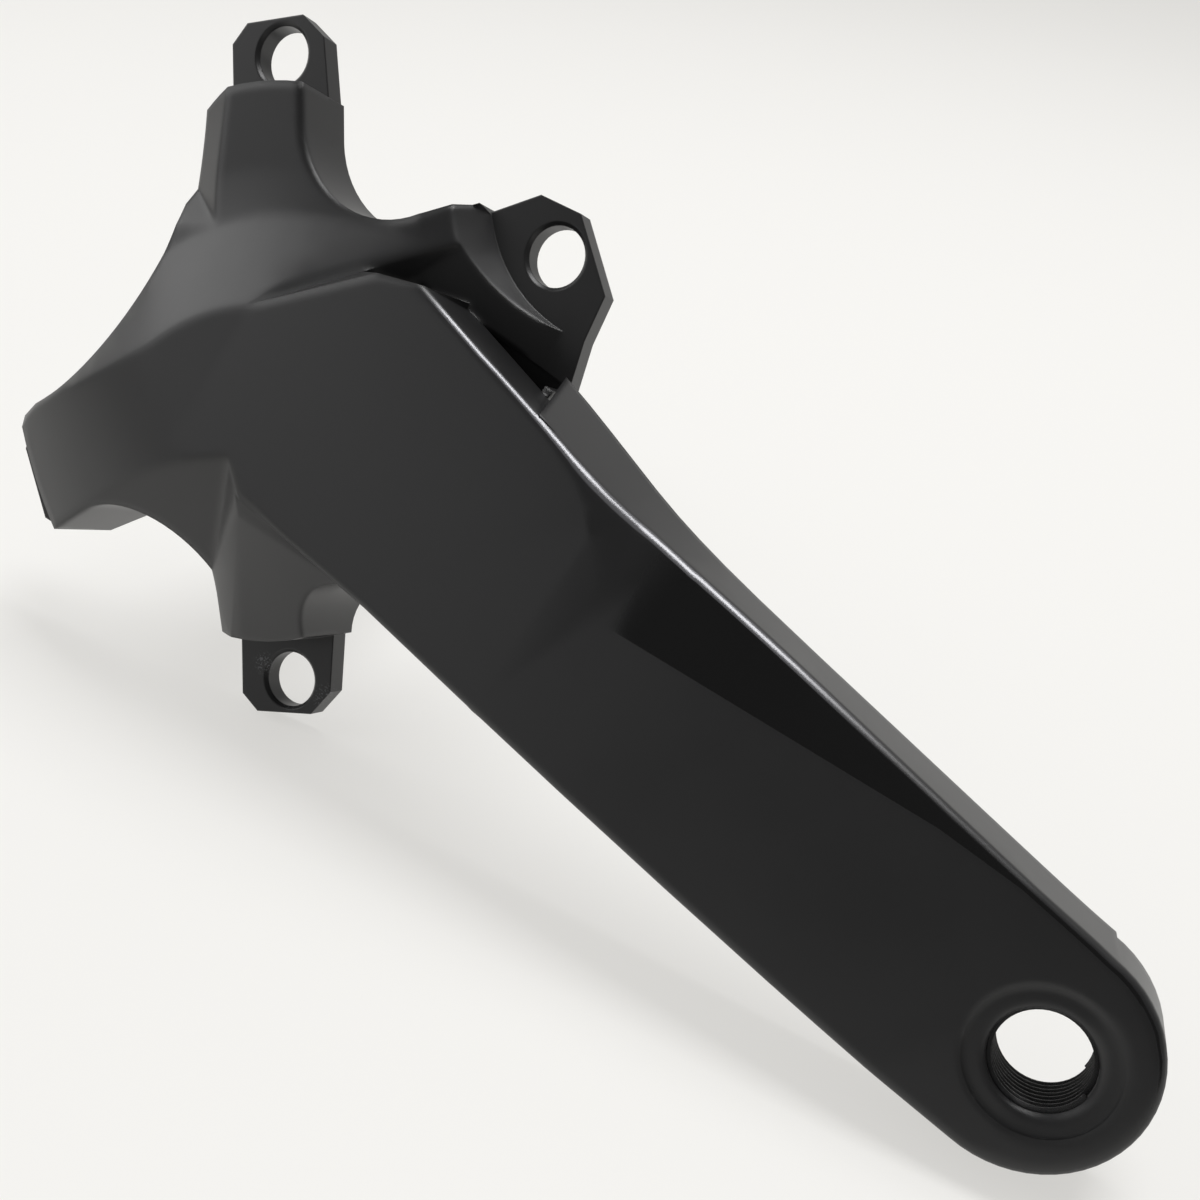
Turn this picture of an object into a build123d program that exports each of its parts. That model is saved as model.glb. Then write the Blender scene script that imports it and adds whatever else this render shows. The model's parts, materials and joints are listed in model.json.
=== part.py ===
from build123d import *
from math import cos, exp, log, radians, sin, tan
import os

# Right-hand bicycle crank: one forging with a four-arm spider, and the hollow spindle pressed into its back.
# It is drawn in the crank's own axes: the spindle is Z, outwards from the bicycle, X runs along the arm to
# the pedal, and Z is 0 on the outer face of the chainring tabs. At the end both pieces are laid at rest on
# a floor.

# Driving dimensions, in millimetres and degrees
CRANK_LENGTH = 165.0
BOLT_CIRCLE = 110.0
ARM_ANGLE = 54.0
BOLT_HOLE = 10.0
BOLT_HOLE_CHAMFER = 0.6

TAB_THICKNESS = 4.0
TAB_OVERLAP = 19.0
TAB_EDGE = 6.2
TAB_HALF_WIDTH = 10.3
TAB_TIP_HALF_WIDTH = 8.6
TAB_CHAMFER = 3.2
TAB_TIP_CHAMFER = 4.2
CRANK_TAB_HALF_WIDTH = 14.9
CRANK_TAB_ROOT_HALF_WIDTH = 12.0
CRANK_TAB_CHAMFER = 5.6

TAB_STEP = 7.5
LONG_ARM_EXTRA = 4.3
ARM_HALF_WIDTH = 10.7
RIDGE_ARM_HALF_WIDTH = 12.2
LONG_ARM_HALF_WIDTH = 13.2
LONG_ARM_REAR_HALF_WIDTH = 9.2
SHORT_ARM_HALF_WIDTH = 10.0
SHORT_ARM_REAR_HALF_WIDTH = 12.8
NARROW_GAP_RADIUS = 16.8
UPPER_GAP_RADIUS = 17.6
WIDE_GAP_RADIUS = 60.0
CRANK_GAP_RADIUS = 10.0
WEB_EDGE_X = 2.3287
WEB_EDGE_Y = 7.8959
WEB_FACE_SLOPE = 28.0
WEB_FACE_HEIGHT = 11.0

# Heights of the forged front, above the outer face of the tabs
HUB_HEIGHT = 20.5
DROOP_START = 0.1
DROOP_MIDDLE = 0.2
DROOP_END = 2.0
DROOP_REACH = 1.4
LONG_ARM_TIP_HEIGHT = 11.7
SHORT_ARM_TIP_HEIGHT = 9.0
BELL_HEIGHT = 19.0
BELL_RADIUS = 34.0
BELL_HOLLOW = 0.29
BEVEL_FOOT = 4.0
BEVEL_ANGLE = 32.0
BEVEL_TILT = 6.0
BEVEL_RUN_OUT = 30.0
LOWER_BEVEL_FOOT = 5.0
LOWER_BEVEL_ANGLE = 36.0
LOWER_BEVEL_TILT = 11.0
BEVEL_RUN_OUT_ANGLE = 36.0
LOWER_BEVEL_RUN_OUT = 34.0
LOWER_RUN_OUT_ANGLE = 37.0
REAR_EDGE_FOOT = 4.0
REAR_EDGE_ANGLE = 58.0
REAR_EDGE_TILT = 5.5

# The ridge along the long-arm diagonal, its flank towards the next arm, and the shoulder up to the crank
RIDGE_OFFSET = 7.7
RIDGE_KNEE = 8.5
RIDGE_KNEE_ROUNDING = 3.0
RIDGE_FALL = 21.5
RIDGE_BAND = 2.0
RIDGE_FLANK = 0.6
FLANK_REACH = 4 / 3
FLANK_STATIONS = 9
SHOULDER_SLOPE = 2.2

# The lower flank: a soft crease from the long arm's tip to the hub, and the front of the lower arm
CREASE_ANGLE = 42.6
CREASE_OFFSET = 13.8
CREASE_SLOPE = 0.1
CREASE_LIFT = 0.8
LOWER_ARM_ROOT_X = 8.0
LOWER_ARM_ROOT_Y = -22.0
LOWER_ARM_ROOT_DROP = 1.0
LOWER_ARM_SLOPE = 27.0
LOWER_ARM_TURN = 13.0

# The pocket between the ridge and the blade of the crank
POCKET_START = 27.0
POCKET_DEPTH = 8.5
POCKET_RADIUS = 14.0
COVE_MIDDLE = 0.4
COVE_SAG = 0.64
POCKET_FLOOR_X = 24.0
POCKET_FLOOR_HEIGHT = 5.6
POCKET_FLOOR_FALL = 18.3
SLOT_START_X = 18.0
SLOT_END_X = 45.6
SLOT_OUTER_Y = 28.5
SLOT_DEPTH = 1.6
UNDERCUT = 2.0
UNDERCUT_END = 3.5
POCKET_END_LEAN = 0.4

# The blade from hub to pedal
LOWER_ROOT = 15.7
LOWER_BULGE = 17.3
LOWER_BULGE_BACK = 33.0
BLADE_START = 26.5
BLADE_STATIONS = 12
BLADE_TAPER = 0.07
BLADE_FLARE = 0.09
BLADE_FLARE_X = 73.0
BLADE_FLARE_ROUNDING = 4.0
BLADE_WAIST = 1.2
BLADE_WAIST_X = 76.0
BLADE_WAIST_LENGTH = 16.0
BLADE_DRAFT = 0.04
ROOT_DRAFT = 0.17
ROOT_DRAFT_X = 85.0
ROOT_DRAFT_FADE = 6.0
NECK_X = 47.2
NECK_Y = 28.4
NECK_BACK_HEIGHT = 5.5
RAMP_END_BACK = 15.0
RAMP_ROUNDING = 60.0
FACET_X = 81.0
FACET_Y = 7.6
FACET_END_BACK = 19.0
FACET_END_Y = 17.3
FACET_TILT = 12.5
FACET_ROLL_LENGTH = 44.0
FACET_ROLL_HEIGHT = 6.8
FACET_ROLL_SWELL = 0.75

PEDAL_HEIGHT = 27.0
PEDAL_EYE_THICKNESS = 12.5
PEDAL_EYE_RADIUS = 16.8
PEDAL_EYE_OFFSET = 2.0
PEDAL_THREAD = 14.288
PEDAL_CHAMFER = 0.4
PEDAL_RING_RADIUS = 10.3
PEDAL_RING_DEPTH = 0.4

CUP_RECESS_RADIUS = 24.0
CUP_RECESS_DEPTH = 4.5

SPINDLE_DIAMETER = 24.0
SPINDLE_WALL = 2.5
SPINDLE_REACH = 111.0
SPINDLE_SEAT = 13.5
SPINDLE_CHAMFER = 0.5
RELIEF_LENGTH = 1.5
RELIEF_DEPTH = 0.3
SPLINE_COUNT = 24
SPLINE_LENGTH = 16.0
SPLINE_STEP = 0.2
SPLINE_DEPTH = 0.6
SPLINE_LAND = 2 / 6
SPLINE_FLANK = 1 / 6
PILOT_LENGTH = 2.5
CAP_WALL = 2.0
CAP_THREAD_LENGTH = 16.0
BOND_GAP = 0.01

REST_STEPS = 30

# Reach of the cutting shapes, past every edge of the piece
TOP = 40.0
FAR = 120.0


def plan(radius, across, angle):
    """A point in plan: so far out along a direction, and so far to its left."""
    turn = radians(angle)
    return Vector(radius * cos(turn) - across * sin(turn), radius * sin(turn) + across * cos(turn))


def along_and_across(x, y, angle):
    """Distances of a point along a direction, and to its left."""
    turn = radians(angle)
    return x * cos(turn) + y * sin(turn), y * cos(turn) - x * sin(turn)


def soft_max(a, b, blend):
    """The larger of two values, rounded where they meet."""
    high = max(a, b)
    return high + blend * log(exp((a - high) / blend) + exp((b - high) / blend))


TAB_ROOT = BOLT_CIRCLE / 2 - TAB_OVERLAP
TAB_REACH = BOLT_CIRCLE / 2 + TAB_EDGE
SPIDER_RADIUS = BOLT_CIRCLE / 2 - TAB_STEP
LONG_ARM_RADIUS = SPIDER_RADIUS + LONG_ARM_EXTRA
LOWER_BULGE_X = CRANK_LENGTH - LOWER_BULGE_BACK
RAMP_END_X = CRANK_LENGTH - RAMP_END_BACK
FACET_END_X = CRANK_LENGTH - FACET_END_BACK
SPLINE_RADIUS = SPINDLE_DIAMETER / 2 - SPLINE_STEP
SPLINE_ROOT = SPLINE_RADIUS - SPLINE_DEPTH
eye_x = CRANK_LENGTH - PEDAL_EYE_OFFSET
eye_back = PEDAL_HEIGHT - PEDAL_EYE_THICKNESS

# Plan of the spider: a disc opened between its arms, with a web that ties the upper arm to the crank
arm_tip = (SPIDER_RADIUS**2 - ARM_HALF_WIDTH**2) ** 0.5


def gap_apex(first, second, first_half, second_half):
    """Where the facing sides of two neighbouring arms would meet."""
    between = sin(radians(second - first))
    return (plan(first_half, 0, second) + plan(second_half, 0, first)) / between


def gap(first, second, radius, first_half, second_half):
    """The opening between two neighbouring arms, with a round bottom."""
    apex = gap_apex(first, second, first_half, second_half)
    wedge = make_face(Polyline(apex, apex + plan(FAR, 0, first), apex + plan(FAR, 0, second), close=True))
    return fillet(wedge.vertices().sort_by_distance(apex)[0], radius)


lower_reach = (LOWER_ROOT + ARM_HALF_WIDTH * cos(radians(ARM_ANGLE))) / sin(radians(ARM_ANGLE))
lower_apex = plan(lower_reach, ARM_HALF_WIDTH, -ARM_ANGLE)
crank_gap = make_face(
    Polyline(lower_apex, lower_apex + plan(FAR, 0, -ARM_ANGLE), lower_apex + Vector(FAR, 0), close=True)
)
crank_gap = fillet(crank_gap.vertices().sort_by_distance((0, 0, 0))[0], CRANK_GAP_RADIUS)

web_start = plan(arm_tip, ARM_HALF_WIDTH, ARM_ANGLE)
web_end = plan(TAB_REACH - CRANK_TAB_CHAMFER, -CRANK_TAB_HALF_WIDTH, ARM_ANGLE)
web_middle = plan(BOLT_CIRCLE / 2, 0, ARM_ANGLE) - Vector(WEB_EDGE_X, WEB_EDGE_Y)
web_edge = ThreePointArc(web_start, web_middle, web_end)
web = make_face(
    web_edge + Polyline(web_end, (NECK_X, NECK_Y), (NECK_X, -LOWER_ROOT), (0, -LOWER_ROOT), (0, 0), web_start)
)
beyond_web = make_face(web_edge + Polyline(web_end, (FAR, web_end.Y), (FAR, FAR), web_start * 2, web_start))

long_arm_sides = Polyline(
    (0, 0), plan(FAR, FAR / 2, 180 + ARM_ANGLE), plan(FAR, -FAR / 2, 180 + ARM_ANGLE), close=True
)
long_arm = Circle(LONG_ARM_RADIUS) & make_face(long_arm_sides)
spider_plan = (
    Circle(SPIDER_RADIUS)
    + long_arm
    + web
    - gap(ARM_ANGLE, 180 - ARM_ANGLE, UPPER_GAP_RADIUS, RIDGE_ARM_HALF_WIDTH, SHORT_ARM_HALF_WIDTH)
    - gap(
        180 - ARM_ANGLE, 180 + ARM_ANGLE, WIDE_GAP_RADIUS, SHORT_ARM_REAR_HALF_WIDTH, LONG_ARM_REAR_HALF_WIDTH
    )
    - gap(180 + ARM_ANGLE, 360 - ARM_ANGLE, NARROW_GAP_RADIUS, LONG_ARM_HALF_WIDTH, ARM_HALF_WIDTH)
    - crank_gap
    - beyond_web
)
spider = Pos(0, 0, -TAB_THICKNESS) * extrude(spider_plan, TOP)


# Front of the spider: a bell round the hub, and a ridge along the diagonal with a flank towards the next arm
bell_edge = ThreePointArc(
    (0, BELL_HEIGHT),
    (BELL_RADIUS / 2, SHORT_ARM_TIP_HEIGHT + (BELL_HEIGHT - SHORT_ARM_TIP_HEIGHT) * BELL_HOLLOW),
    (BELL_RADIUS, SHORT_ARM_TIP_HEIGHT),
)
bell_profile = make_face(
    bell_edge + Polyline(bell_edge @ 1, (FAR, SHORT_ARM_TIP_HEIGHT), (FAR, FAR), (0, FAR), bell_edge @ 0)
)
over_bell = revolve(Plane.XZ * bell_profile, Axis.Z)


def ridge_height(along):
    """Height of the ridge: a slow droop to the long arm's tip and a straight fall to the upper arm's."""
    droop = (HUB_HEIGHT - LONG_ARM_TIP_HEIGHT) * (min(along, 0) / SPIDER_RADIUS) ** 2
    fall = tan(radians(RIDGE_FALL)) * soft_max(along - RIDGE_KNEE, 0, RIDGE_KNEE_ROUNDING)
    return HUB_HEIGHT - droop - fall


def flank_section(along):
    start = RIDGE_OFFSET - RIDGE_BAND
    top = ridge_height(along) + RIDGE_FLANK * RIDGE_BAND
    foot = top - RIDGE_FLANK * (FAR / 2 - start)
    outline = Polyline((start, top), (FAR / 2, foot), (FAR / 2, FAR), (start, FAR), close=True)
    at = plan(along, 0, ARM_ANGLE)
    left = plan(0, 1, ARM_ANGLE)
    return Plane(origin=at, x_dir=left, z_dir=left.cross(Vector(0, 0, 1))) * make_face(outline)


flank_step = 2 * SPIDER_RADIUS * FLANK_REACH / (FLANK_STATIONS - 1)
stations = [flank_step * i - SPIDER_RADIUS * FLANK_REACH for i in range(FLANK_STATIONS)]
over_flank = loft([flank_section(along) for along in stations])
spider -= over_flank & over_bell

# The upper arm's ridge band, and the shoulder that climbs from it to the crank's face
ridge_start = plan(RIDGE_KNEE, RIDGE_OFFSET, ARM_ANGLE) + Vector(0, 0, HUB_HEIGHT)
ridge_way = plan(cos(radians(RIDGE_FALL)), 0, ARM_ANGLE) - Vector(0, 0, sin(radians(RIDGE_FALL)))
ridge_left = plan(0, 1, ARM_ANGLE)
across_ridge = Plane(origin=ridge_start, x_dir=ridge_left, z_dir=ridge_way)
over_band = make_face(
    Polyline((-RIDGE_BAND, 0), (FAR, 0), (FAR, FAR), (-RIDGE_BAND - FAR / SHOULDER_SLOPE, FAR), close=True)
)
spider -= extrude(across_ridge * over_band, amount=FAR / 2, both=True)


def blade_edge(x):
    flare = BLADE_FLARE * soft_max(BLADE_FLARE_X - x, 0, BLADE_FLARE_ROUNDING)
    waist = BLADE_WAIST * exp(-(((x - BLADE_WAIST_X) / BLADE_WAIST_LENGTH) ** 2))
    return PEDAL_EYE_RADIUS + BLADE_TAPER * (eye_x - x) + flare - waist


# The pocket falls away from the band in a cove, between the shoulder's edge and the arm's end
pocket_start = plan(POCKET_START, RIDGE_OFFSET - RIDGE_BAND, ARM_ANGLE)
blade_corner = Vector(BLADE_START, blade_edge(BLADE_START))
pocket_plan = make_face(
    Polyline(
        pocket_start,
        blade_corner,
        blade_corner - Vector(0, UNDERCUT),
        (SLOT_END_X, blade_edge(SLOT_END_X) - UNDERCUT_END),
        (SLOT_END_X, FAR / 2),
        plan(FAR / 2, RIDGE_OFFSET - RIDGE_BAND, ARM_ANGLE),
        close=True,
    )
)
cove_end = (POCKET_RADIUS**2 - (POCKET_RADIUS - POCKET_DEPTH) ** 2) ** 0.5
cove = ThreePointArc(
    (-RIDGE_BAND, 0),
    (-RIDGE_BAND - cove_end * COVE_MIDDLE, -POCKET_DEPTH * COVE_SAG),
    (-RIDGE_BAND - cove_end, -POCKET_DEPTH),
)
over_cove = make_face(
    cove + Polyline(cove @ 1, (-FAR, -POCKET_DEPTH), (-FAR, FAR), (-RIDGE_BAND, FAR), cove @ 0)
)
over_floor = (
    Pos(POCKET_FLOOR_X, 0, POCKET_FLOOR_HEIGHT)
    * Rot(0, POCKET_FLOOR_FALL, 0)
    * Box(FAR, FAR, FAR, align=(Align.CENTER, Align.CENTER, Align.MIN))
)
pocket = Pos(0, 0, -TAB_THICKNESS) * extrude(pocket_plan, TOP + TAB_THICKNESS)
above_tabs = Box(FAR * 2, FAR * 2, FAR, align=(Align.CENTER, Align.CENTER, Align.MIN))
in_pocket = extrude(across_ridge * over_cove, amount=FAR, both=True) & over_floor & above_tabs
slot = Pos(SLOT_START_X, SLOT_OUTER_Y, 0) * Box(FAR, FAR, FAR, align=(Align.MIN, Align.MAX, Align.CENTER))
spider -= pocket & in_pocket
slot = pocket & slot & (Pos(0, 0, -SLOT_DEPTH) * in_pocket)
spider -= slot
spider -= Pos(SLOT_END_X, 0, NECK_BACK_HEIGHT) * Box(FAR, FAR, FAR, align=Align.MIN)
spider -= Pos(SLOT_END_X, blade_edge(SLOT_END_X), 0) * Box(FAR, FAR, FAR, align=Align.MIN)
spider -= extrude(beyond_web, WEB_FACE_HEIGHT, taper=-WEB_FACE_SLOPE)

# Lower flank: it falls gently from the crease, and then steeply along the lower arm, up to the crank's
# lower wall
below_crank = Pos(0, -LOWER_ROOT, 0) * Box(FAR, FAR, FAR, align=(Align.CENTER, Align.MAX, Align.CENTER))
crease_way = plan(1, 0, CREASE_ANGLE)
crease_side = plan(0, -1, CREASE_ANGLE)
crease_fall = crease_side - Vector(0, 0, CREASE_SLOPE)
crease_origin = crease_side * CREASE_OFFSET


def crease_point(u):
    """A point of the crease in its own upright plane, at the height of the front face."""
    at = crease_origin + crease_way * u
    along, _ = along_and_across(at.X, at.Y, ARM_ANGLE)
    return (u, ridge_height(min(along, 0)) + CREASE_LIFT)


crease_plane = Plane(
    origin=crease_origin - crease_fall * CREASE_OFFSET,
    x_dir=crease_way,
    z_dir=crease_way.cross(Vector(0, 0, 1)),
)
crease_end = LONG_ARM_RADIUS + LONG_ARM_HALF_WIDTH
crease_edge = ThreePointArc(crease_point(-crease_end), crease_point(-crease_end / 2), crease_point(0))
over_crease = make_face(
    crease_edge
    + Polyline(
        crease_edge @ 1, (FAR, HUB_HEIGHT + CREASE_LIFT), (FAR, FAR), (-crease_end, FAR), crease_edge @ 0
    )
)
spider -= extrude(crease_plane * over_crease, amount=FAR, dir=crease_fall) & below_crank
lower_arm_plane = (
    Pos(LOWER_ARM_ROOT_X, LOWER_ARM_ROOT_Y, HUB_HEIGHT - LOWER_ARM_ROOT_DROP)
    * Rot(0, 0, LOWER_ARM_TURN)
    * Rot(LOWER_ARM_SLOPE, 0, 0)
    * Box(FAR * 2, FAR * 2, FAR, align=(Align.CENTER, Align.CENTER, Align.MIN))
)
beside_hub = Box(FAR, FAR, FAR, align=(Align.MIN, Align.CENTER, Align.CENTER))
spider -= lower_arm_plane & below_crank & beside_hub

# Along the wide gap the edge is drawn back steeply, from a foot that rises towards the long arm
rear_apex = gap_apex(
    180 - ARM_ANGLE, 180 + ARM_ANGLE, SHORT_ARM_REAR_HALF_WIDTH, LONG_ARM_REAR_HALF_WIDTH
)
gap_centre = rear_apex - Vector(WIDE_GAP_RADIUS / sin(radians(ARM_ANGLE)), 0)
tip_y = SPIDER_RADIUS * sin(radians(ARM_ANGLE))
edge_reach = WIDE_GAP_RADIUS / 2
edge_rise = edge_reach * tan(radians(REAR_EDGE_ANGLE))
over_edge = make_face(
    Polyline(
        (WIDE_GAP_RADIUS - edge_reach, -edge_rise),
        (WIDE_GAP_RADIUS + edge_reach, edge_rise),
        (WIDE_GAP_RADIUS + edge_reach, FAR),
        (WIDE_GAP_RADIUS - edge_reach, FAR),
        close=True,
    )
)
over_edge = Pos(0, gap_centre.Y - tip_y, 0) * revolve(Plane.XZ * over_edge, Axis.Z)
spider -= Pos(gap_centre.X, tip_y, REAR_EDGE_FOOT) * (Rot(-REAR_EDGE_TILT, 0, 0) * over_edge)


# Flat bevels on the rear edges of the two arms beside the long one, running out towards the hub
def over_bevel(angle, rear, foot, slope, tilt, run_out, climb):
    """What lies above an arm's bevel, which rises from its foot at the arm's tip and runs out upwards."""
    at = plan(SPIDER_RADIUS, rear, angle) + Vector(0, 0, foot)
    way = plan(cos(radians(tilt)), 0, angle) - Vector(0, 0, sin(radians(tilt)))
    inward = plan(0, -rear, angle).normalized() * cos(radians(slope)) + Vector(0, 0, sin(radians(slope)))
    normal = way.cross(inward)
    normal = normal if normal.Z > 0 else normal * -1
    end = plan(run_out, rear, angle) + Vector(0, 0, foot + (SPIDER_RADIUS - run_out) * tan(radians(tilt)))
    end_normal = plan(sin(radians(climb)), 0, angle) + Vector(0, 0, cos(radians(climb)))
    half_space = Box(FAR * 2, FAR * 2, FAR, align=(Align.CENTER, Align.CENTER, Align.MIN))
    over_slope = Plane(origin=at, x_dir=way, z_dir=normal) * half_space
    return over_slope & (Plane(origin=end, x_dir=plan(0, 1, angle), z_dir=end_normal) * half_space)


spider -= over_bevel(
    180 - ARM_ANGLE,
    SHORT_ARM_REAR_HALF_WIDTH,
    BEVEL_FOOT,
    BEVEL_ANGLE,
    BEVEL_TILT,
    BEVEL_RUN_OUT,
    BEVEL_RUN_OUT_ANGLE,
)
spider -= over_bevel(
    -ARM_ANGLE,
    -ARM_HALF_WIDTH,
    LOWER_BEVEL_FOOT,
    LOWER_BEVEL_ANGLE,
    LOWER_BEVEL_TILT,
    LOWER_BEVEL_RUN_OUT,
    LOWER_RUN_OUT_ANGLE,
)


# The blade: drafted sections from the hub to the pedal eye
def front_height(x):
    return HUB_HEIGHT + (PEDAL_HEIGHT - HUB_HEIGHT) * min(max(x / RAMP_END_X, 0), 1)


def back_height(x):
    return NECK_BACK_HEIGHT + (eye_back - NECK_BACK_HEIGHT) * min((x - NECK_X) / (RAMP_END_X - NECK_X), 1)


def blade_section(x):
    draft = BLADE_DRAFT + ROOT_DRAFT / (1 + exp((x - ROOT_DRAFT_X) / ROOT_DRAFT_FADE))
    span = LOWER_BULGE_X - NECK_X if x < LOWER_BULGE_X else eye_x - LOWER_BULGE_X
    end = LOWER_ROOT if x < LOWER_BULGE_X else PEDAL_EYE_RADIUS
    lower = LOWER_BULGE - (LOWER_BULGE - end) * ((x - LOWER_BULGE_X) / span) ** 2
    back = back_height(x)
    foot = blade_edge(x) + draft * (front_height(x) - back)
    brow = blade_edge(x) - draft * (TOP - front_height(x))
    section = Polyline((-lower, back), (foot, back), (brow, TOP), (-lower, TOP), close=True)
    return Plane(origin=(x, 0, 0), x_dir=(0, 1, 0), z_dir=(1, 0, 0)) * make_face(section)


pitch = (eye_x - BLADE_START) / (BLADE_STATIONS - 1)
blade = loft([blade_section(BLADE_START + pitch * i) for i in range(BLADE_STATIONS)])
end_lean = POCKET_END_LEAN * HUB_HEIGHT
brow_end = SLOT_END_X + end_lean
brow_middle = (BLADE_START + brow_end) / 2
beside_blade = make_face(
    Polyline(
        (0, blade_edge(BLADE_START)),
        blade_corner,
        (brow_middle, blade_edge(brow_middle)),
        (brow_end, blade_edge(brow_end)),
        (brow_end, FAR),
        (0, FAR),
        close=True,
    )
)
blade -= extrude(Pos(-end_lean, 0, 0) * beside_blade, amount=TOP, dir=(POCKET_END_LEAN, 0, 1))
eye = Pos(eye_x, 0, eye_back) * extrude(Circle(PEDAL_EYE_RADIUS), TOP - eye_back)
crank = spider + blade + eye

# Front face: a ramp from hub to pedal, drooping towards the long arm's tip
ramp = FilletPolyline(
    (-FAR, HUB_HEIGHT),
    (0, HUB_HEIGHT),
    (RAMP_END_X, PEDAL_HEIGHT),
    (FAR * 2, PEDAL_HEIGHT),
    radius=RAMP_ROUNDING,
)
over_ramp = make_face(ramp + Polyline(ramp @ 1, (FAR * 2, FAR), (-FAR, FAR), ramp @ 0))
crank -= extrude(Plane.XZ * over_ramp, amount=FAR, both=True)
droop = HUB_HEIGHT - LONG_ARM_TIP_HEIGHT
droop_end = -SPIDER_RADIUS * DROOP_REACH
droop_edge = ThreePointArc(
    (0, HUB_HEIGHT + droop * DROOP_START),
    (-SPIDER_RADIUS / 2, HUB_HEIGHT - droop * DROOP_MIDDLE),
    (droop_end, HUB_HEIGHT - droop * DROOP_END),
)
over_droop = make_face(droop_edge + Polyline(droop_edge @ 1, (droop_end, FAR), (0, FAR), droop_edge @ 0))
diagonal_way = plan(1, 0, ARM_ANGLE)
diagonal = Plane(origin=(0, 0, 0), x_dir=diagonal_way, z_dir=diagonal_way.cross(Vector(0, 0, 1)))
crank -= extrude(diagonal * over_droop, amount=FAR, both=True)


# The facet along the blade's upper edge, with the front face rolling off into it from the hub's side
facet_rise = front_height(FACET_END_X) - front_height(FACET_X)
facet_way = Vector(FACET_END_X - FACET_X, FACET_END_Y - FACET_Y, facet_rise)
facet_start = Vector(FACET_X, FACET_Y, front_height(FACET_X))
facet_side = Vector(-facet_way.Y, facet_way.X, 0).normalized() * cos(radians(FACET_TILT))
facet_side -= Vector(0, 0, sin(radians(FACET_TILT)))
along_facet = Plane(origin=facet_start, x_dir=facet_way, z_dir=facet_side * -1)
roll = ThreePointArc(
    (-FACET_ROLL_LENGTH, FACET_ROLL_HEIGHT),
    (-FACET_ROLL_LENGTH / 2, FACET_ROLL_HEIGHT * FACET_ROLL_SWELL),
    (0, 0),
)
over_facet = make_face(
    roll + Polyline(roll @ 1, (FAR, 0), (FAR, FAR), (-FACET_ROLL_LENGTH, FAR), roll @ 0)
)
crank -= extrude(along_facet * over_facet, amount=FAR / 2, both=True)


# Chainring tabs
def tab(angle, left, right):
    """A tab from its half-widths at the root and at the tip and its corner chamfer, on each side."""
    left_root, left_tip, left_chamfer = left
    right_root, right_tip, right_chamfer = right
    outline = Polyline(
        plan(TAB_ROOT, -right_root, angle),
        plan(TAB_REACH - right_chamfer, -right_tip, angle),
        plan(TAB_REACH, right_chamfer - right_tip, angle),
        plan(TAB_REACH, left_tip - left_chamfer, angle),
        plan(TAB_REACH - left_chamfer, left_tip, angle),
        plan(TAB_ROOT, left_root, angle),
        close=True,
    )
    return Pos(0, 0, -TAB_THICKNESS) * extrude(make_face(outline), TAB_THICKNESS)


rear_side = (TAB_HALF_WIDTH, TAB_HALF_WIDTH, TAB_CHAMFER)
front_side = (TAB_HALF_WIDTH, TAB_TIP_HALF_WIDTH, TAB_TIP_CHAMFER)
ridge_side = (CRANK_TAB_ROOT_HALF_WIDTH, TAB_HALF_WIDTH, CRANK_TAB_CHAMFER)
crank_side = (CRANK_TAB_HALF_WIDTH, CRANK_TAB_HALF_WIDTH, CRANK_TAB_CHAMFER)
crank += tab(180 - ARM_ANGLE, rear_side, front_side)
crank += tab(180 + ARM_ANGLE, rear_side, rear_side)
crank += tab(-ARM_ANGLE, front_side, rear_side)
crank += tab(ARM_ANGLE, ridge_side, crank_side)
crank -= slot - above_tabs

for angle in (ARM_ANGLE, 180 - ARM_ANGLE, 180 + ARM_ANGLE, -ARM_ANGLE):
    at = plan(BOLT_CIRCLE / 2, 0, angle)
    crank -= Pos(at.X, at.Y, -TAB_THICKNESS) * extrude(Circle(BOLT_HOLE / 2), TAB_THICKNESS)
    rim_radius = BOLT_HOLE / 2 + BOLT_HOLE_CHAMFER
    downward = (Align.CENTER, Align.CENTER, Align.MAX)
    rim = Cone(BOLT_HOLE / 2, rim_radius, BOLT_HOLE_CHAMFER, align=downward)
    crank -= Pos(at.X, at.Y, 0) * rim

# Machined seats: cup relief and spindle bore at the back, pedal thread bore with its faced ring
upward = (Align.CENTER, Align.CENTER, Align.MIN)
recess_floor = CUP_RECESS_DEPTH - TAB_THICKNESS
crank -= Pos(0, 0, -TAB_THICKNESS) * Cylinder(CUP_RECESS_RADIUS, CUP_RECESS_DEPTH, align=upward)
seat_radius = SPINDLE_DIAMETER / 2 + BOND_GAP
crank -= Pos(0, 0, recess_floor) * Cylinder(seat_radius, SPINDLE_SEAT + BOND_GAP, align=upward)
crank -= Pos(CRANK_LENGTH, 0, eye_back) * Cylinder(PEDAL_THREAD / 2, PEDAL_EYE_THICKNESS, align=upward)
ring_floor = PEDAL_HEIGHT - PEDAL_RING_DEPTH
crank -= Pos(CRANK_LENGTH, 0, ring_floor) * Cylinder(PEDAL_RING_RADIUS, TOP, align=upward)
pedal_rim = PEDAL_THREAD / 2 + PEDAL_CHAMFER
crank -= Pos(CRANK_LENGTH, 0, eye_back) * Cone(pedal_rim, PEDAL_THREAD / 2, PEDAL_CHAMFER, align=upward)
crank -= Pos(CRANK_LENGTH, 0, ring_floor - PEDAL_CHAMFER) * Cone(
    PEDAL_THREAD / 2, pedal_rim, PEDAL_CHAMFER, align=upward
)

# Spindle: a tube with a relief at the arm, a long bearing surface, splines for the other arm and a plain end
spindle_foot = recess_floor - SPINDLE_REACH
bearing_top = recess_floor - RELIEF_LENGTH
bearing_foot = spindle_foot + PILOT_LENGTH + SPLINE_LENGTH


def spindle_part(radius, foot, top):
    return Pos(0, 0, foot) * Cylinder(radius, top - foot, align=upward)


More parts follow.
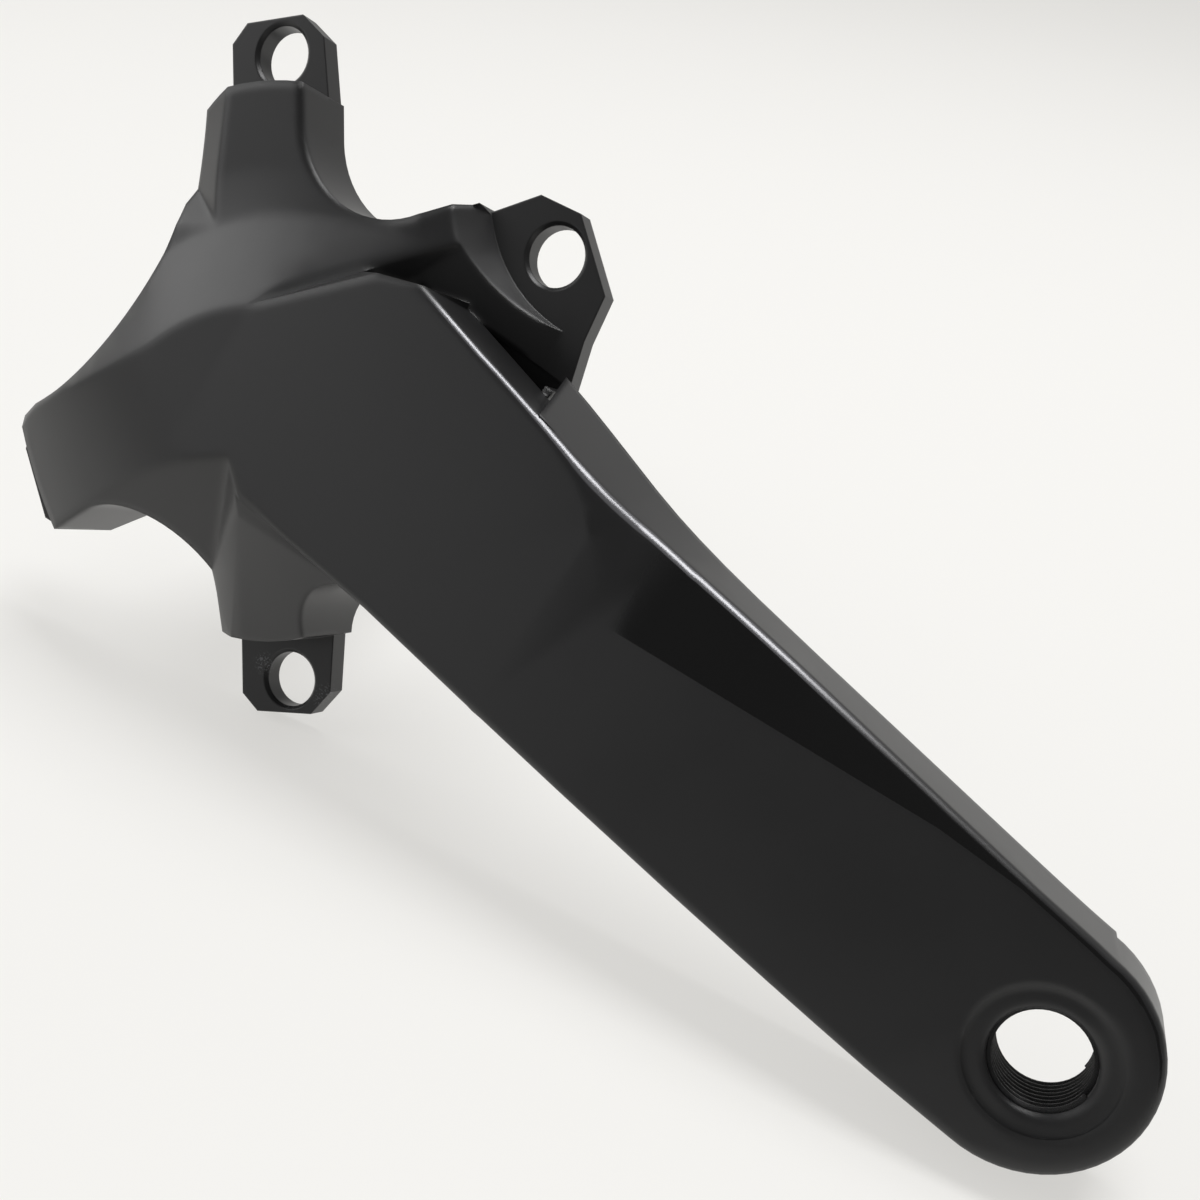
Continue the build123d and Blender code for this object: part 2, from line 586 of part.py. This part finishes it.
spline_points = []
crest = SPLINE_LAND + SPLINE_FLANK
for i in range(SPLINE_COUNT):
    for radius, share in (
        (SPLINE_ROOT, 0),
        (SPLINE_ROOT, SPLINE_LAND),
        (SPLINE_RADIUS, crest),
        (SPLINE_RADIUS, crest + SPLINE_LAND),
    ):
        spline_points.append(plan(radius, 0, (i + share) * 360 / SPLINE_COUNT))
splines = extrude(make_face(Polyline(*spline_points, close=True)), SPLINE_LENGTH)
pilot = spindle_part(SPLINE_ROOT, spindle_foot, bearing_foot)
pilot = chamfer(pilot.edges().filter_by(GeomType.CIRCLE).sort_by(Axis.Z)[0], SPINDLE_CHAMFER)
spindle = spindle_part(SPINDLE_DIAMETER / 2, recess_floor, recess_floor + SPINDLE_SEAT)
spindle = chamfer(spindle.edges().filter_by(GeomType.CIRCLE).sort_by(Axis.Z)[-1], SPINDLE_CHAMFER)
spindle += spindle_part(SPINDLE_DIAMETER / 2 - RELIEF_DEPTH, bearing_top, recess_floor)
spindle += spindle_part(SPINDLE_DIAMETER / 2, bearing_foot, bearing_top)
spindle += Pos(0, 0, spindle_foot + PILOT_LENGTH) * splines
spindle += pilot
spindle -= spindle_part(SPINDLE_DIAMETER / 2 - SPINDLE_WALL, spindle_foot, recess_floor + SPINDLE_SEAT)
spindle -= spindle_part(SPINDLE_DIAMETER / 2 - CAP_WALL, spindle_foot, spindle_foot + CAP_THREAD_LENGTH)

# At rest it leans on the corner of the lower tab, the back rim of the pedal eye and the rim of the
# spindle's end
up = Vector(0, 1, 0)
for _ in range(REST_STEPS):
    lean = Vector(up.X, up.Y, 0).normalized()
    corner = plan(TAB_REACH, TAB_CHAMFER - TAB_HALF_WIDTH, -ARM_ANGLE) - Vector(0, 0, TAB_THICKNESS)
    heel = Vector(eye_x, 0, eye_back) - lean * PEDAL_EYE_RADIUS
    rim = Vector(0, 0, spindle_foot + SPINDLE_CHAMFER) - lean * SPLINE_ROOT
    up = (rim - corner).cross(heel - corner).normalized()
    up = up if up.Y > 0 else up * -1
floor_x = Vector(1, 0, 0) - up * up.X
rest = Plane(origin=corner, x_dir=floor_x, z_dir=up).location.inverse()
crank = rest * crank
spindle = rest * spindle
box = (crank + spindle).bounding_box()
centre = Pos(-box.center().X, -box.center().Y, -box.min.Z)

os.makedirs("parts", exist_ok=True)
export_step(centre * crank, "parts/crank_arm.step")
export_step(centre * spindle, "parts/spindle.step")
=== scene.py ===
import json
from math import pi, radians

import bmesh
import bpy
from mathutils import Matrix, Vector


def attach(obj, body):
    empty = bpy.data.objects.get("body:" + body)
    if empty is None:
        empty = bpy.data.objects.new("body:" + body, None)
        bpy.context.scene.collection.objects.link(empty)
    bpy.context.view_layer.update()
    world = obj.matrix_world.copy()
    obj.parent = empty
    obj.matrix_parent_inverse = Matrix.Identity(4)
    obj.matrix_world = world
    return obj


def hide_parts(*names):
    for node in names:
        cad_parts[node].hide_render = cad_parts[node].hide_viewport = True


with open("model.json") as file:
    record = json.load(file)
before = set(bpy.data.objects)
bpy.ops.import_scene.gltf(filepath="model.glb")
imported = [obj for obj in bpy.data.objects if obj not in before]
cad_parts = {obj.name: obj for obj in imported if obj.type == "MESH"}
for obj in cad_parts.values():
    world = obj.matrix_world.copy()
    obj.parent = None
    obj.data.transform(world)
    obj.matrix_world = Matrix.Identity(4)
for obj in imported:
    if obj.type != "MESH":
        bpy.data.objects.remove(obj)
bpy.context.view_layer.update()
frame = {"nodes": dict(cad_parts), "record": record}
scene = bpy.context.scene


# The forging: arm and spider in one piece of aluminium, forged, fine-blasted and anodised satin black. Its
# edges are softly rounded, the tabs' edges are machined and crisp, and a few corners are rubbed bright.

# The crank's own axes, read from its mounts: "arm" runs to the pedal, "side" lies across it, and "out" points
# away from the bicycle. They start at "hub", on the outer face of the chainring tabs. Places are in metres.
mounts = {mount["name"]: mount for mount in frame["record"]["mounts"]}
pedal = Vector(mounts["pedal"]["pos_m"])
out = Vector(mounts["pedal"]["axis"]).normalized()
holes = [Vector(mounts["chainring_hole_%d" % i]["pos_m"]) for i in (1, 2, 3, 4)]
hole_to_tab_face = 0.0023
hub = sum(holes, Vector()) / len(holes) + out * hole_to_tab_face
arm = pedal - hub
arm = (arm - out * arm.dot(out)).normalized()
side = out.cross(arm)
crank_axes = Matrix((arm, side, out)).transposed().to_4x4()
crank_axes.translation = hub
to_crank = crank_axes.inverted()


class Socket:
    """A shader value that can be written into sums."""

    def __init__(self, tree, link):
        self.tree = tree
        self.link = link

    def node(self, kind, settings=(), **values):
        made = self.tree.nodes.new("ShaderNode" + kind)
        for name, value in dict(settings).items():
            setattr(made, name, value)
        for name, value in values.items():
            at = int(name[1:]) if name[0] == "i" and name[1:].isdigit() else name.replace("_", " ")
            if isinstance(value, Socket):
                self.tree.links.new(value.link, made.inputs[at])
            else:
                made.inputs[at].default_value = value
        return made

    def value(self, kind, output=0, settings=(), **values):
        return Socket(self.tree, self.node(kind, settings, **values).outputs[output])

    def math(self, operation, other, reflected=False):
        first, second = (other, self) if reflected else (self, other)
        return self.value("Math", settings={"operation": operation}, i0=first, i1=second)

    def __add__(self, other):
        return self.math("ADD", other)

    __radd__ = __add__

    def __sub__(self, other):
        return self.math("SUBTRACT", other)

    def __rsub__(self, other):
        return self.math("SUBTRACT", other, True)

    def __mul__(self, other):
        return self.math("MULTIPLY", other)

    __rmul__ = __mul__

    def dot(self, other):
        return self.value("VectorMath", "Value", {"operation": "DOT_PRODUCT"}, i0=self, i1=other)

    def away_from(self, point):
        return self.value("VectorMath", "Value", {"operation": "DISTANCE"}, i0=self, i1=point)

    def step(self, low, high):
        settings = {"interpolation_type": "SMOOTHSTEP"}
        return self.value("MapRange", 0, settings, Value=self, From_Min=low, From_Max=high)

    def noise(self, scale, detail):
        return self.value("TexNoise", 0, Vector=self, Scale=scale, Detail=detail)

    def rounded(self, radius, samples):
        return self.value("Bevel", 0, {"samples": samples}, Radius=radius)

    def blend(self, first, second):
        return self.value("Mix", 1, {"data_type": "VECTOR"}, i0=self, i4=first, i5=second)


def finish(name):
    """A new material with its surface shader and a socket to write sums with."""
    made = bpy.data.materials.new(name)
    made.use_nodes = True
    tree = made.node_tree
    shader = tree.nodes["Principled BSDF"]
    place = tree.nodes.new("ShaderNodeTexCoord").outputs["Object"]
    return made, shader, Socket(tree, place)


def set_input(shader, name, value):
    if isinstance(value, Socket):
        value.tree.links.new(value.link, shader.inputs[name])
    else:
        shader.inputs[name].default_value = value


def grey(tone, blue):
    return tone.value("CombineColor", 0, Red=tone, Green=tone, Blue=tone * blue)


# Where each finish, painted highlight and painted shade starts and is full: distances in the crank's axes, or
# cosines of a tilt.
tab_face = (0.0006, 0.0016)
spider_end = (0.030, 0.018)
spider_foot = (0.006, 0.010)
eye_start = (0.1645, 0.170)
line_start = (0.026, 0.034)
line_end = (0.130, 0.098)
line_foot = (0.017, 0.019)
line_upper = (0.010, 0.014)
line_tilt = (0.3, 0.45)
facet_start = (0.077, 0.087)
facet_tilt = (0.06, 0.17)
facet_front = (0.88, 0.94)
edge_bend = (0.02, 0.2)
rub_reach = (0.0028, 0.0006)
long_rub_reach = (0.0035, 0.0008)
rubbed_corner = (0.0405, -0.0425, 0.0)
rubbed_points = ((0.0345, -0.0475, 0.0), (-0.0215, 0.0545, 0.0), (0.0263, -0.0455, 0.0))
# The facet's tone is painted shade: darker than the satin black, to stand in for the dark reflection it
# shows.
black, facet_painted_shade = 0.0125, 0.0030
# The second tone is a painted highlight, lightening the rounded upper edge of the blade.
bare_metal, painted_highlight_tone = 0.22, 0.14
blue_tint = 1.06
metal_share = 0.4
satin_roughness, facet_roughness = 0.36, 0.14

satin, satin_shader, place = finish("satin_black")
along = place.dot(arm) - arm.dot(hub)
across = place.dot(side) - side.dot(hub)
height = place.dot(out) - out.dot(hub)
grain = place.noise(7000.0, 2.0)
patches = place.noise(45.0, 3.0)

# Machined edges are crisp, forged ones soft, and the spider and the eye have the broadest.
crisp = place.rounded(0.0004, 8)
soft = place.rounded(0.0015, 8)
broad = place.rounded(0.0028, 12)
on_spider = along.step(*spider_end) * height.step(*spider_foot)
at_eye = along.step(*eye_start)
softened = (on_spider + at_eye).math("MINIMUM", 1.0).blend(height.step(*tab_face).blend(crisp, soft), broad)
set_input(
    satin_shader,
    "Normal",
    place.value("Bump", 0, Strength=0.16, Distance=0.00002, Height=grain, Normal=softened),
)

# A painted highlight along the rounded upper edge of the blade, lightened, partly metallic and glossier, and
# below it the glossier facet, darkened with painted shade.
facing = place.value("NewGeometry", "Normal")
sideways = facing.dot(side)
outwards = facing.dot(out)
painted_highlight_line = sideways.step(*line_tilt) * outwards.step(*line_tilt) * along.step(*line_start)
painted_highlight_line = painted_highlight_line * along.step(*line_end) * height.step(*line_foot) * across.step(*line_upper)
facet = sideways.step(*facet_tilt) * outwards.step(*facet_front) * along.step(*facet_start)

# Specks rubbed bright on a few corners, and faint wear on every crisp edge.
rub = place.away_from(crank_axes @ Vector(rubbed_corner)).step(*long_rub_reach)
for point in rubbed_points:
    rub = rub + place.away_from(crank_axes @ Vector(point)).step(*rub_reach)
specks = place.noise(2600.0, 3.0).step(0.52, 0.62)
scuffs = place.noise(700.0, 4.0).step(0.6, 0.8)
bent = (1.0 - crisp.dot(facing)).step(*edge_bend)
wear = (0.5 * rub * specks + 0.12 * bent * scuffs).math("MINIMUM", 1.0)

# The facet is darkened here with painted shade; the patches are the finish's own uneven tone.
tone = (black - (black - facet_painted_shade) * facet) * (0.8 + 0.4 * patches)
# The line tone added here is a painted highlight on the blade's upper edge; the bare metal tone is real wear.
tone = tone + bare_metal * wear + painted_highlight_tone * painted_highlight_line
set_input(satin_shader, "Base Color", grey(tone, blue_tint))
set_input(satin_shader, "Metallic", metal_share * wear + metal_share * painted_highlight_line)
glossier = (satin_roughness - facet_roughness) * facet.math("MAXIMUM", painted_highlight_line)
uneven = 0.08 * (patches - 0.5) + 0.05 * (grain - 0.5)
set_input(satin_shader, "Roughness", satin_roughness - glossier + uneven)

forging = bpy.data.objects.new("forging", frame["nodes"]["crank_arm"].data.copy())
scene.collection.objects.link(forging)
forging.data.materials.clear()
forging.data.materials.append(satin)
skin = bmesh.new()
skin.from_mesh(forging.data)
bmesh.ops.remove_doubles(skin, verts=skin.verts, dist=1e-6)
bmesh.ops.dissolve_limit(skin, angle_limit=radians(0.2), verts=skin.verts, edges=skin.edges)

# The blade's wall beside the pocket is joined with the narrow faces under its upper edge, to leave room for
# the rounding.
pocket_start, pocket_end = 0.026, 0.0585
front_height, web_height = 0.0205, 0.002
narrow_area = 2.6e-6
wall_facing, least_lean = 0.9, 0.03
pocket_wall = set()
for face in skin.faces:
    places = [to_crank @ vert.co for vert in face.verts]
    beside_pocket = all(pocket_start < at.x < pocket_end and at.z > web_height for at in places)
    reaches_front = max(at.z for at in places) > front_height
    leaning = face.normal.dot(out) < -least_lean
    if beside_pocket and reaches_front and face.normal.dot(side) > wall_facing:
        if leaning or face.calc_area() < narrow_area:
            pocket_wall.add(face)
joins = [edge for edge in skin.edges if all(face in pocket_wall for face in edge.link_faces)]
bmesh.ops.dissolve_edges(skin, edges=joins, use_verts=True)

# The front is cut across where the facet starts, is full and ends, and the facet's thin tip joins the front.
facet_cuts = (0.072, 0.087, 0.136)
tip_start, tip_height = 0.1355, 0.02
tip_facing, tip_bend = 0.95, radians(0.4)
for cut in facet_cuts:
    whole = list(skin.verts) + list(skin.edges) + list(skin.faces)
    bmesh.ops.bisect_plane(skin, geom=whole, dist=1e-7, plane_co=hub + arm * cut, plane_no=arm)
tip = []
for edge in skin.edges:
    places = [to_crank @ vert.co for vert in edge.verts]
    on_front = all(face.normal.dot(out) > tip_facing for face in edge.link_faces)
    in_tip = all(at.x > tip_start and at.z > tip_height for at in places)
    if on_front and in_tip and edge.calc_face_angle(0) > tip_bend:
        tip.append(edge)
bmesh.ops.dissolve_edges(skin, edges=tip, use_verts=True)

# The outline of the blade and the eye is rounded, but not the ring round the pedal hole.
outline_start = 0.027
outline_radius, outline_segments = 0.0012, 4
pedal_ring_radius = 0.0106
front_tilt, wall_tilt = 0.9, 0.4
outline = []
for edge in skin.edges:
    tilts = [face.normal.dot(out) for face in edge.link_faces]
    middle = (edge.verts[0].co + edge.verts[1].co) / 2
    at = to_crank @ middle
    from_pedal = (middle - pedal) - out * (middle - pedal).dot(out)
    turns_over = len(tilts) == 2 and max(tilts) > front_tilt and min(tilts) < wall_tilt
    outside = at.x > outline_start and at.z > front_height and from_pedal.length > pedal_ring_radius
    if turns_over and outside:
        outline.append(edge)
bmesh.ops.bevel(
    skin,
    geom=outline,
    offset=outline_radius,
    offset_type="OFFSET",
    affect="EDGES",
    segments=outline_segments,
    profile=0.5,
    clamp_overlap=False,
    material=-1,
)
bmesh.ops.triangulate(skin, faces=skin.faces)
bmesh.ops.dissolve_degenerate(skin, dist=1e-6, edges=skin.edges)
bmesh.ops.triangulate(skin, faces=skin.faces)

# Shading is smooth, except at corners and at the facet's shallow crease along the blade.
corner, crease = radians(30), radians(5)
crease_start, crease_facing, crease_run = 0.06, 0.93, 0.9
for face in skin.faces:
    face.smooth = True
    face.material_index = 0
for edge in skin.edges:
    first, second = (vert.co for vert in edge.verts)
    on_front = all(face.normal.dot(out) > crease_facing for face in edge.link_faces)
    on_blade = ((first + second) / 2 - hub).dot(arm) > crease_start
    lengthwise = abs((second - first).normalized().dot(arm)) > crease_run
    sharp_from = crease if on_front and on_blade and lengthwise else corner
    edge.smooth = edge.calc_face_angle(pi) < sharp_from
skin.to_mesh(forging.data)
skin.free()
flatten = forging.modifiers.new("flat_faces", "WEIGHTED_NORMAL")
flatten.keep_sharp = True
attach(forging, "root")
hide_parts("crank_arm")


# The pedal thread: a right-hand V thread of 20 turns to the inch, cut through the eye and anodised with it.
# It is a ridge wound up the bore, from just inside the back chamfer to just inside the front one.
bore_radius = mounts["pedal"]["dims"]["r_mm"] / 1000
pitch = 0.00127
turns = 8
steps = 48
ridge_height, ridge_sink = 0.00062, 0.00002
crest_half, foot_half = 0.00008, 0.00055
thread = bpy.data.objects.new("pedal_thread", bpy.data.meshes.new("pedal_thread"))
scene.collection.objects.link(thread)
ridge = bmesh.new()
start = to_crank @ pedal - Vector((0, 0, pitch * turns / 2))
profile = [
    ridge.verts.new(start + Vector((radius, 0, rise)))
    for radius, rise in (
        (bore_radius + ridge_sink, -foot_half),
        (bore_radius - ridge_height, -crest_half),
        (bore_radius - ridge_height, crest_half),
        (bore_radius + ridge_sink, foot_half),
    )
]
end = ridge.faces.new(profile)
bmesh.ops.spin(
    ridge,
    geom=[end] + list(end.edges) + profile,
    cent=start,
    axis=(0, 0, 1),
    dvec=(0, 0, pitch / steps),
    angle=2 * pi * turns,
    steps=steps * turns,
    use_duplicate=False,
)
bmesh.ops.recalc_face_normals(ridge, faces=ridge.faces)
bmesh.ops.transform(ridge, matrix=crank_axes, verts=ridge.verts)
for face in ridge.faces:
    face.smooth = False
ridge.to_mesh(thread.data)
ridge.free()
thread.data.materials.append(satin)
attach(thread, "root")


# The spindle: a hollow steel tube, turned and ground bright, with splines cut at its far end. It is pressed
# and bonded into the back of the forging for good.
steel_tone, steel_blue, steel_roughness = 0.42, 1.02, 0.3
steel, steel_shader, place = finish("ground_steel")
uneven = 0.03 * (place.noise(400.0, 4.0) - 0.5)
set_input(steel_shader, "Base Color", grey(steel_tone + uneven, steel_blue))
set_input(steel_shader, "Metallic", 1.0)
set_input(steel_shader, "Roughness", steel_roughness + uneven)
spindle = frame["nodes"]["spindle"]
spindle.data.materials.clear()
spindle.data.materials.append(steel)


# The table and the room: a pale matt table on which the crank's shadow stays faint, in a room that is dim on
# the viewer's side and lighter behind.
table_half = 3.0
table_tone, table_blue, table_roughness = 0.80, 0.985, 0.6
glow_white, glow_strength, glow_share = (1.0, 0.985, 0.95, 1.0), 0.94, 0.62
room_white = (1.0, 0.99, 0.97, 1.0)
room_dim, room_light = 0.17, 0.52
floor = bpy.data.objects.new("floor", bpy.data.meshes.new("floor"))
scene.collection.objects.link(floor)
sheet = bmesh.new()
bmesh.ops.create_grid(sheet, x_segments=1, y_segments=1, size=table_half)
sheet.to_mesh(floor.data)
sheet.free()
pale, pale_shader, place = finish("pale_table")
uneven = 0.03 * (place.noise(3.0, 2.0) - 0.5)
set_input(pale_shader, "Base Color", grey(table_tone + uneven, table_blue))
set_input(pale_shader, "Roughness", table_roughness)
rays = place.node("LightPath")
seen = Socket(place.tree, rays.outputs["Is Camera Ray"])
for ray in ("Is Glossy Ray", "Is Transmission Ray"):
    seen = seen + Socket(place.tree, rays.outputs[ray])
seen = seen.math("MINIMUM", 1.0)
glow = place.value("Emission", 0, Color=glow_white, Strength=glow_strength)
lit = Socket(place.tree, pale_shader.outputs["BSDF"])
mixed = place.value("MixShader", 0, i0=glow_share * seen, i1=lit, i2=glow)
set_input(place.tree.nodes["Material Output"], "Surface", mixed)
floor.data.materials.append(pale)

world = bpy.data.worlds.new("room")
scene.world = world
world.use_nodes = True
backdrop = world.node_tree.nodes["Background"]
direction = Socket(world.node_tree, world.node_tree.nodes.new("ShaderNodeTexCoord").outputs["Generated"])
behind = direction.dot((-0.2, 1.0, 0.0)).step(-0.5, 0.9)
set_input(backdrop, "Color", room_white)
set_input(backdrop, "Strength", room_dim + (room_light - room_dim) * behind)


# The lamps: a large soft one to the left, a weak one low in front and a strong one above and behind, which
# lights the bright line on the blade's upper edge, where a painted highlight adds to it. All face the middle
# of the crank. Sizes are in metres and powers in watts.
lamp_target = Vector((0, 0, 0.05))
for name, at, width, depth, power in (
    ("left", (-1.05, -0.35, 0.75), 1.2, 0.9, 5.5),
    ("low", (-0.75, -1.15, 0.42), 0.9, 0.5, 1.0),
    ("top", (0.05, 0.35, 1.2), 0.7, 0.6, 12.0),
):
    lamp = bpy.data.lights.new(name, "AREA")
    lamp.shape = "RECTANGLE"
    lamp.size = width
    lamp.size_y = depth
    lamp.energy = power
    holder = bpy.data.objects.new(name, lamp)
    scene.collection.objects.link(holder)
    holder.location = at
    holder.rotation_euler = (lamp_target - holder.location).to_track_quat("-Z", "Y").to_euler()


# The camera: fitted to the rims of the chainring holes and the pedal hole, so its place and directions are in
# the crank's axes. The picture is 1200 px square, with its optical centre 70 px below the middle.
camera_place = (0.130079, 0.056864, 0.202949)
right = Vector((0.749230, 0.556642, -0.358891))
down = Vector((0.619644, -0.780475, 0.083063))
picture_size, centre_drop = 1200, 70
eye = bpy.data.cameras.new("camera")
eye.sensor_width = 36.0
eye.lens = 39.4056
eye.shift_y = centre_drop / picture_size
eye.clip_start = 0.01
camera = bpy.data.objects.new("camera", eye)
scene.collection.objects.link(camera)
pose = Matrix((right, -down, -right.cross(down))).transposed().to_4x4()
pose.translation = camera_place
camera.matrix_world = crank_axes @ pose
scene.camera = camera
scene.view_settings.view_transform = "Standard"
